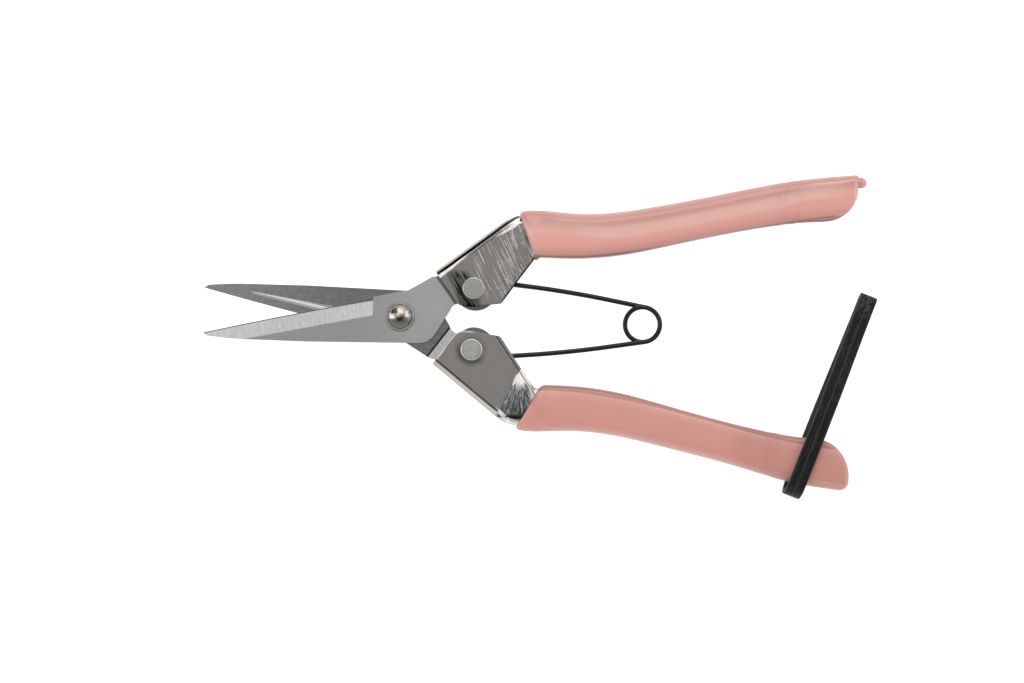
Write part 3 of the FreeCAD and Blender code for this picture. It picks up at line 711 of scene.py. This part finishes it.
def section(side, x_out, offset, inner_wall):
    """Points of one cross-section in the upper handle, from the front inner
    edge over the outer fold to the rear inner edge. With inner_wall they go
    on round the inner side. offset moves them off the steel."""
    x_in = inner_x(x_out, *DIPS[side])
    shift = OUTER_SHIFT[side] * smoothstep(*OUTER_SHIFT_X, x_out)
    outer = np.array([x_out, np.interp(x_out, STATIONS, HIGH_Y) + shift])
    inner = np.array([x_in, np.interp(x_in, STATIONS, LOW_CORNERS)])
    middle = (outer + inner) / 2
    across = (outer - inner) / np.linalg.norm(outer - inner)
    width = np.linalg.norm(outer - inner) / 2 + offset
    tube = smoothstep(*TUBE_X, middle[0])
    half = FLAT_HALF + offset
    fold = (FOLD_R + offset) * (1 - tube) + TUBE_FOLD * half * tube
    fold = min(fold, MOST_FOLD * half)
    seam = (SEAM_R + 0.5 * offset) * (1 - tube) + TUBE_SEAM * half * tube
    profile = []
    if inner_wall:
        for angle in np.linspace(180, 90, 9):
            profile.append((-width + seam + seam * math.cos(math.radians(angle)),
                            half - seam + seam * math.sin(math.radians(angle))))
        start = -width + seam
    else:
        profile.append((-width, half))
        start = -width
    run = width - fold - start
    for share in np.linspace(EDGE_STEP / run, 1, FACE_POINTS)[:-1]:
        profile.append((start + share * run, half))
    for angle in np.linspace(90, 0, 15):
        profile.append((width - fold + fold * math.cos(math.radians(angle)),
                        half - fold + fold * math.sin(math.radians(angle))))
    profile = np.array(profile)
    profile = np.concatenate([profile, profile[::-1] * (1, -1)])
    heights = profile[:, 1] * (1 - CROWN * tube * (profile[:, 0] / width) ** 2)
    flat = middle + np.outer(profile[:, 0], across)
    swelling = swell_rise(flat, side) + roll_drop(flat, side)
    heights *= 1 + swelling / half
    return np.column_stack([flat, heights + MIDDLE_Z])


CREASE_FOOT = np.array([34.4, 15.2])         # the faces swell out to the tube behind this line
CREASE_NORMAL = np.array([0.90, 0.433])
SWELL_START = {"upper": 5.0, "lower": 0.0}
SWELL_LENGTH = {"upper": 3.5, "lower": 5.0}
FACE_MIDDLE_Y, FACE_HALF_WIDTH = 20.0, 10.0  # of the swelling face
SINK_START = 60.0            # the tube keeps its full height up to here
TUBE_HALF = HALF_Z.max()


def swell_rise(flat, side):
    """How far the faces stand out from the flat channel: they swell past a
    slanting crease to the tube, and sink again towards the end."""
    past = np.maximum((flat - CREASE_FOOT) @ CREASE_NORMAL - SWELL_START[side], 0.0)
    off_middle = np.clip((flat[:, 1] - FACE_MIDDLE_Y) / FACE_HALF_WIDTH, -1.0, 1.0)
    crowned = 1 - off_middle ** 2 * (1 - smoothstep(36.0, 46.0, flat[:, 0]))
    sunk = np.interp(flat[:, 0], STATIONS, HALF_Z) - TUBE_HALF
    swollen = (TUBE_HALF - FLAT_HALF) * (1 - np.exp(-past / SWELL_LENGTH[side])) * crowned
    return swollen + np.where(flat[:, 0] > SINK_START, sunk, 0)


def roll_drop(flat, side):
    """The upper handle's face rolls over before its fold, more at both ends."""
    if side == "lower":
        return 0.0
    depth = (flat - MOUTH_HEEL) @ FOLD_INWARD
    at_mouth, at_grip = 1 - smoothstep(10.0, 18.0, flat[:, 0]), smoothstep(25.0, 32.0, flat[:, 0])
    reach = 0.12 + 0.3 * at_mouth + 1.2 * at_grip
    rolled = 1 - smoothstep(FOLD_R - 0.1, FOLD_R + reach, depth)
    return -0.16 * reach * rolled * (1 - smoothstep(33.0, 37.0, flat[:, 0]))


DIPS = {"upper": (33.4, 38.0), "lower": (34.4, 40.4)}    # x_out and x_in of the grip's front edge


def pressed(points, side):
    """The face of a handle steps up behind its mouth, along a line that bends
    back beside the rivet."""
    rise = points[:, 2] - MIDDLE_Z
    on_face = smoothstep(FLAT_HALF - 0.8, FLAT_HALF - 0.2, np.abs(rise))
    from_mouth = (points[:, :2] - MOUTH_FOOT) @ MOUTH_INWARD
    flat = 1 - smoothstep(28.0, 38.0, points[:, 0])
    if side == "upper":
        start = 1.3 + 0.03 * np.maximum(points[:, 1] - 8.0, 0.0) ** 2
        step = smoothstep(0.0, 3.2, from_mouth - start) * (1 - smoothstep(8.0, 19.0, points[:, 1]))
    else:
        step = smoothstep(0.0, 9.0, from_mouth)
    points[:, 2] += np.sign(rise) * on_face * flat * step * RAISED[side]
    return points


STEEL_END = 46.0             # the shell stops out of sight under the grip
STEEL_ROWS = 145


def handle_piece(side):
    """The folded sheet, from the mouth to under the grip."""
    rows = []
    places = np.linspace(HANDLE_X[0] + EDGE_STEP, STEEL_END, STEEL_ROWS)
    for x_out in np.append(HANDLE_X[0] + INSET, places):
        rows.append(pressed(section(side, x_out, 0.0, False), side))
    count = len(rows[0])
    points = np.concatenate(rows)
    faces = grid_faces(len(rows), count, False)
    if side == "lower":
        points = turned_over(points)
    piece = make_piece(side + "_handle_shell", points, faces, chrome_paint(side + "_chrome", side))
    add_modifier(piece, "SOLIDIFY", thickness=SHEET * MM, offset=-1.0)
    add_modifier(piece, "BEVEL", width=0.5 * MM, segments=4, limit_method="ANGLE",
                 angle_limit=math.radians(50))
    stands_for(piece, side + "_handle", side + "_half")


LIP = 1.1                    # length of the rounded front edge of the dip
OUTER_SHIFT = {"upper": -0.5, "lower": 0.5}  # the two grips differ a little near their ends
OUTER_SHIFT_X = 94.0, 119.0
FINE_START = 104.0           # the rings lie closer from here on, for the creases
END_START, END_X = 121.0, 129.95
END_REACH = 8.5              # how far back the inner corner's rounding starts
INNER_CORNER = {"upper": 8.0, "lower": 9.5}  # how far the rounded corners cut in
OUTER_CORNER = {"upper": 0.7, "lower": 2.8}
BEAD = np.array([130.7, 42.6])               # left by dipping the upper grip
BEAD_R = 1.65
BEAD_TURNS = [-25, -12, *range(0, 81, 8)]    # degrees from the bead's widest ring
# Place, depth and width of each crease; the ones that stand out are above zero.
CREASES = {"upper": ((107.6, 0.18, 0.8), (109.4, -0.26, 0.7), (111.6, 0.16, 0.9), (113.0, -0.18, 0.6)),
           "lower": ((106.4, -0.24, 0.9), (108.6, 0.12, 1.2))}


def grip_piece(side, tone):
    """The dipped skin, from its thin front lip to its rounded end."""
    dip = DIPS[side]
    rows = [section(side, dip[0] + 0.8, -0.7, True)]
    for angle in np.radians(np.linspace(0, 90, 9)):
        rows.append(section(side, dip[0] + LIP * (1 - math.cos(angle)), WALL * math.sin(angle), True))
    coarse, fine = np.arange(dip[0] + LIP + 0.3, FINE_START, 0.6), np.arange(FINE_START, END_START, 0.2)
    for x_out in np.concatenate([coarse, fine]):
        extra = sum(depth * bell(x_out, place, width) for place, depth, width in CREASES[side])
        swell = 0.12 * bell(x_out, dip[0] + 2.5, 1.6)
        rows.append(section(side, x_out, WALL + 0.25 * extra + swell, True))
    rows += end_rings(side)
    if side == "lower":
        rows = [turned_over(row) for row in rows]
    piece = tube_piece(side + "_grip_skin", rows, vinyl_paint(side + "_vinyl", tone, side))
    stands_for(piece, side + "_grip", side + "_half")


def rounded(distance, radius):
    """How far a quarter ellipse of unit height has fallen this far before its end."""
    return 1 - math.sqrt(1 - np.clip((radius - distance) / radius, 0.0, 1.0) ** 2)


def end_rings(side):
    """The grip's end: a wide rounding at the inner corner, a small one at the
    outer corner, and on the upper grip the bead."""
    base = section(side, END_START, WALL, True)
    low, high = base[:, 1].min(), base[:, 1].max()
    share = (base[:, 1] - low) / (high - low)
    rings = []
    for angle in np.radians(np.linspace(0, 90, 40)):
        x = END_START + (END_X - END_START) * math.sin(angle)
        left = END_X - x
        inner = low + 0.12 * (x - END_START) + INNER_CORNER[side] * rounded(left, END_REACH)
        outer = high + 0.11 * (x - END_START) - OUTER_CORNER[side] * rounded(left, OUTER_CORNER[side])
        thickness = 1 - 0.12 * rounded(left, END_REACH) - 0.35 * rounded(left, 1.5)
        rings.append(np.column_stack([np.full(len(base), x), inner + share * (outer - inner),
                                      MIDDLE_Z + (base[:, 2] - MIDDLE_Z) * thickness]))
    if side == "upper":
        about = np.arctan2((base[:, 2] - MIDDLE_Z) / np.ptp(base[:, 2]), share - 0.5)
        for angle in np.radians(BEAD_TURNS):
            radius = BEAD_R * (math.cos(angle) if angle > 0 else 1 + 0.1 * math.sin(angle) ** 2)
            x = BEAD[0] + 1.05 * BEAD_R * math.sin(angle)
            rings.append(np.column_stack([np.full(len(base), x), BEAD[1] + radius * np.cos(about),
                                          MIDDLE_Z + radius * np.sin(about)]))
    return rings


# ---- spring ----
WIRE_R = 0.7
WIRE_SIDES = 16
WIRE_TIP = 0.45              # share of its radius left at the wire's two ends
EYE_R = 2.5
EYE_SWEEP = 270.0
COIL_R = 5.0
LEG_PLANE = 1.1
LEG_BEND = np.array([48.0, 8.75])            # each leg bows slightly here
LEG_BEND_R = 300.0


def on_circle(centre, radius, degrees):
    """Points of a circle at these angles."""
    angle = np.radians(degrees)
    return np.stack([centre[0] + radius * np.cos(angle), centre[1] + radius * np.sin(angle)], axis=-1)


def tangent_direction(bend, centre, radius, side):
    """Direction from a point to where its tangent touches a circle."""
    gap = centre[:2] - bend
    return math.degrees(math.atan2(gap[1], gap[0]) + side * math.asin(radius / np.linalg.norm(gap)))


def arm_line():
    """Centre line of the upper arm, from its eye to the left of the coil."""
    to_coil = tangent_direction(LEG_BEND, COIL, COIL_R, 1)
    to_bend = tangent_direction(LEG_BEND, RIVET, EYE_R, -1) % 360 - 180
    eye = on_circle(RIVET, EYE_R, np.linspace(90 + to_bend + EYE_SWEEP, 90 + to_bend, 40))
    turn = math.radians((to_bend - to_coil + 180) % 360 - 180)
    reach = LEG_BEND_R * math.tan(turn / 2)
    centre = on_circle(on_circle(LEG_BEND, -reach, to_bend), -LEG_BEND_R, to_bend + 90)
    bow = on_circle(centre, LEG_BEND_R, np.linspace(90 + to_bend, 90 + to_coil, 14))
    coil = on_circle(COIL, COIL_R, np.linspace(90 + to_coil, -180, 60))
    between = np.linspace(0, 1, 16)[1:-1, None]
    line = np.concatenate([eye, eye[-1] + (bow[0] - eye[-1]) * between, bow,
                           bow[-1] + (coil[0] - bow[-1]) * between, coil])
    climb = np.concatenate([np.zeros(len(line) - len(coil)), np.linspace(0, 1, len(coil))])
    return np.column_stack([line, MIDDLE_Z - LEG_PLANE * (1 - climb)])


def wire_rings(line):
    """Rings square to a line of points, carried along it without twist."""
    rings = []
    ahead = np.gradient(line, axis=0)
    ahead /= np.linalg.norm(ahead, axis=1)[:, None]
    up = np.array([0.0, 0.0, 1.0])
    angles = np.linspace(0, 2 * math.pi, WIRE_SIDES, endpoint=False)
    for point, direction in zip(line, ahead):
        up = up - (up @ direction) * direction
        up /= np.linalg.norm(up)
        beside = np.cross(direction, up)
        rings.append(point + WIRE_R * (np.outer(np.cos(angles), beside) + np.outer(np.sin(angles), up)))
    return rings


def spring_piece():
    """One wire for both arms: the upper arm and the same arm turned over."""
    arm = arm_line()
    line = np.concatenate([arm, turned_over(arm)[-2::-1]])
    rings = wire_rings(line)
    for end in (0, -1):
        rings[end] = line[end] + (rings[end] - line[end]) * WIRE_TIP
    piece = tube_piece("spring_wire", rings, wire_paint())
    stands_for(piece, "spring_upper_arm", None)
    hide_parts("spring_lower_arm")
    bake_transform(piece)


# ---- strap ----
STRAP_GAP = 3.85             # half gap between the strands round the grip
STRAP_FOLD_GAP = 0.45        # and at the fold at the free end
STRAP_OPEN, STRAP_SHUT = 15.0, 2.0           # lengths that stay open and shut at the ends
STRAP_CORNER = 0.25
REAR_SHIFT = -0.6            # the rear strand lies a little to the left


def strap_half_gap(u, foot_u, top_u):
    """Half the distance between the strands' centre lines at u."""
    shut = smoothstep(foot_u + STRAP_OPEN, top_u - STRAP_SHUT, u)
    return (STRAP_GAP + STRAP_T / 2) * (1 - shut) + (STRAP_FOLD_GAP + STRAP_T / 2) * shut


def strap_line():
    """Centre line of the loop: u along the strap, height, and side shift."""
    foot_u = STRAP_T + STRAP_GAP
    top_u = STRAP_LENGTH - STRAP_T - STRAP_FOLD_GAP
    foot_r = STRAP_GAP + STRAP_T / 2
    top_r = STRAP_FOLD_GAP + STRAP_T / 2
    front = np.linspace(foot_u, top_u, 90)
    line = [(u, strap_half_gap(u, foot_u, top_u)) for u in front]
    for angle in np.radians(np.linspace(90, -90, 14))[1:-1]:
        line.append((top_u + top_r * math.cos(angle), top_r * math.sin(angle)))
    line += [(u, -strap_half_gap(u, foot_u, top_u)) for u in front[::-1]]
    for angle in np.radians(np.linspace(270, 90, 26))[1:-1]:
        line.append((foot_u + foot_r * math.cos(angle), foot_r * math.sin(angle)))
    line = np.array(line)
    shift = REAR_SHIFT * smoothstep(1.0, -1.0, line[:, 1] / foot_r)
    return np.column_stack([line, shift])


def strap_piece():
    """A closed flat band along the loop's centre line."""
    line = strap_line()
    ahead = np.roll(line[:, :2], -1, axis=0) - np.roll(line[:, :2], 1, axis=0)
    ahead /= np.linalg.norm(ahead, axis=1)[:, None]
    outward = np.column_stack([-ahead[:, 1], ahead[:, 0]])
    wide, thick = STRAP_W / 2 - STRAP_CORNER, STRAP_T / 2 - STRAP_CORNER
    profile = []
    for across, out, start in ((1, 1, 0), (-1, 1, 90), (-1, -1, 180), (1, -1, 270)):
        for angle in np.radians([start, start + 30, start + 60, start + 90]):
            profile.append((across * wide + STRAP_CORNER * math.cos(angle),
                            out * thick + STRAP_CORNER * math.sin(angle)))
    rings = []
    for (u, height, shift), away in zip(line, outward):
        ring = []
        for across, out in profile:
            flat = STRAP_FOOT + (u + out * away[0]) * STRAP_RUN + (across + shift) * STRAP_ACROSS
            ring.append((flat[0], flat[1], MIDDLE_Z + height + out * away[1]))
        rings.append(ring)
    count = len(profile)
    faces = grid_faces(len(rings), count, True)
    last = (len(rings) - 1) * count
    faces += [(last + k, k, (k + 1) % count, last + (k + 1) % count) for k in range(count)]
    piece = make_piece("strap_band", np.concatenate(rings), faces, leather_paint())
    stands_for(piece, "strap", "strap_loop")


# ---- carried-over metal ----
def paint_node(node, material):
    """Gives a CAD node that keeps its shape a better material."""
    piece = frame["nodes"][node]
    piece.data.materials.clear()
    piece.data.materials.append(material)


# ---- surroundings ----
FLOOR_HALF = 4000.0
FLOOR_DROP = 0.02            # the floor lies this far under the tool


def make_floor():
    corners = np.array([(-1, -1, 0), (1, -1, 0), (1, 1, 0), (-1, 1, 0)]) * FLOOR_HALF
    floor = make_piece("floor", corners, [(0, 1, 2, 3)], None)
    paint = Paint("white_floor", Roughness=0.9, Emission_Strength=0.8)
    paint.set("Base Color", (0.6, 0.6, 0.6, 1.0))
    paint.set("Emission Color", (1.0, 1.0, 1.0, 1.0))
    floor.data.materials.clear()
    floor.data.materials.append(paint.material)
    floor.location.z = cad_low.z - FLOOR_DROP * MM


def make_world():
    """A studio tent with a grey patch straight overhead. Round the patch are a
    white card to the upper left with a dark gap below it, a bright wall to the
    upper right, and a dark rim with grey walls on the lower side."""
    world = bpy.data.worlds.new("studio")
    bpy.context.scene.world = world
    world.use_nodes = True
    nodes = Nodes(world.node_tree)
    tree = nodes.tree
    direction = nodes.split(tree.nodes.new("ShaderNodeTexCoord").outputs["Generated"])
    from_zenith = nodes.math("DIVIDE", nodes.math("ARCCOSINE", direction[2]), math.pi)
    azimuth = nodes.times(nodes.math("ARCTAN2", direction[1], direction[0]), 180 / math.pi)

    def wall(stops):
        """Grey levels by angle from straight up, in degrees."""
        node = tree.nodes.new("ShaderNodeValToRGB")
        while len(node.color_ramp.elements) < len(stops):
            node.color_ramp.elements.new(0.5)
        for element, (angle, level) in zip(node.color_ramp.elements, stops):
            element.position = angle / 180
            element.color = (level, level, level, 1.0)
        tree.links.new(from_zenith, node.inputs[0])
        return node.outputs[0]

    patch = [(0, 0.38), (8, 0.38)]
    card = [(12, 1.6), (31, 1.6), (34, 0.04), (84, 0.04), (90, 0.9), (180, 0.9)]
    upper_left = wall(patch + card)
    upper_right = wall(patch + [(12, 0.45), (80, 0.5), (95, 0.9), (180, 0.9)])
    lower = wall(patch + [(12, 0.03), (30, 0.03), (36, 0.5), (70, 1.0), (180, 1.0)])
    upper = nodes.mix(nodes.rise(azimuth, 100.0, 120.0), upper_right, upper_left)
    sideways = nodes.math("SINE", nodes.times(azimuth, math.pi / 180))
    room = nodes.mix(nodes.rise(sideways, -0.3, 0.3), lower, upper)
    tree.links.new(room, tree.nodes["Background"].inputs["Color"])


# Soft boxes: direction and angle from straight up in degrees, size in metres, power.
LIGHTS = {"key": (90, 48, (0.75, 0.85), 3.9), "right": (25, 57, (0.75, 0.6), 2.7),
          "left": (180, 62, (0.57, 0.8), 3.1)}
LIGHT_AWAY = 1.0
LIGHT_TARGET = np.array([0.035, 0.0, 0.0])


def make_light(name, azimuth, from_zenith, size, power):
    light = bpy.data.lights.new(name, "AREA")
    light.shape = "RECTANGLE"
    light.size, light.size_y = size
    light.energy = power
    lamp = bpy.data.objects.new(name, light)
    a, z = math.radians(azimuth), math.radians(from_zenith)
    away = np.array([math.cos(a) * math.sin(z), math.sin(a) * math.sin(z), math.cos(z)])
    lamp.location = LIGHT_TARGET + LIGHT_AWAY * away
    lamp.rotation_mode = "XYZ"
    lamp.rotation_euler = (z, 0.0, a + math.pi / 2)
    bpy.context.scene.collection.objects.link(lamp)


LENS, SENSOR = 171.0, 36.0   # millimetres
CAMERA_HEIGHT = 1.4
CAMERA_SHIFT = 8.0, 4.2      # from the middle of the box, to the left and nearer
CAMERA_TURN = 1.9


def make_camera():
    """Straight above the tool, turned a little so that it lies as it was laid."""
    middle = (cad_low + cad_high) / 2
    data = bpy.data.cameras.new("camera")
    data.lens = LENS
    data.sensor_width = SENSOR
    camera = bpy.data.objects.new("camera", data)
    left, nearer = CAMERA_SHIFT
    camera.location = (middle.x - left * MM, middle.y - nearer * MM, CAMERA_HEIGHT)
    camera.rotation_euler = (0.0, 0.0, math.radians(CAMERA_TURN))
    bpy.context.scene.collection.objects.link(camera)
    bpy.context.scene.camera = camera
    bpy.context.scene.view_settings.view_transform = "Standard"


# ---- everything ----
make_camera()
make_world()
for name, setting in LIGHTS.items():
    make_light(name, *setting)
make_floor()
for name, side in (("front_blade", 1), ("rear_blade", -1)):
    paint_node(name, blade_paint(name + "_steel", side))
NICKEL = nickel_paint()
for name in ("pivot_bolt", "pivot_nut"):
    paint_node(name, NICKEL)
WASHER = washer_paint()
for name in ("front_washer", "rear_washer"):
    paint_node(name, WASHER)
for name, side in (("upper_rivet", 1), ("lower_rivet", -1)):
    paint_node(name, rivet_paint(name + "_steel", side))
for side in ("upper", "lower"):
    handle_piece(side)
for side, tone in GRIP_TONES.items():
    grip_piece(side, tone)
spring_piece()
strap_piece()
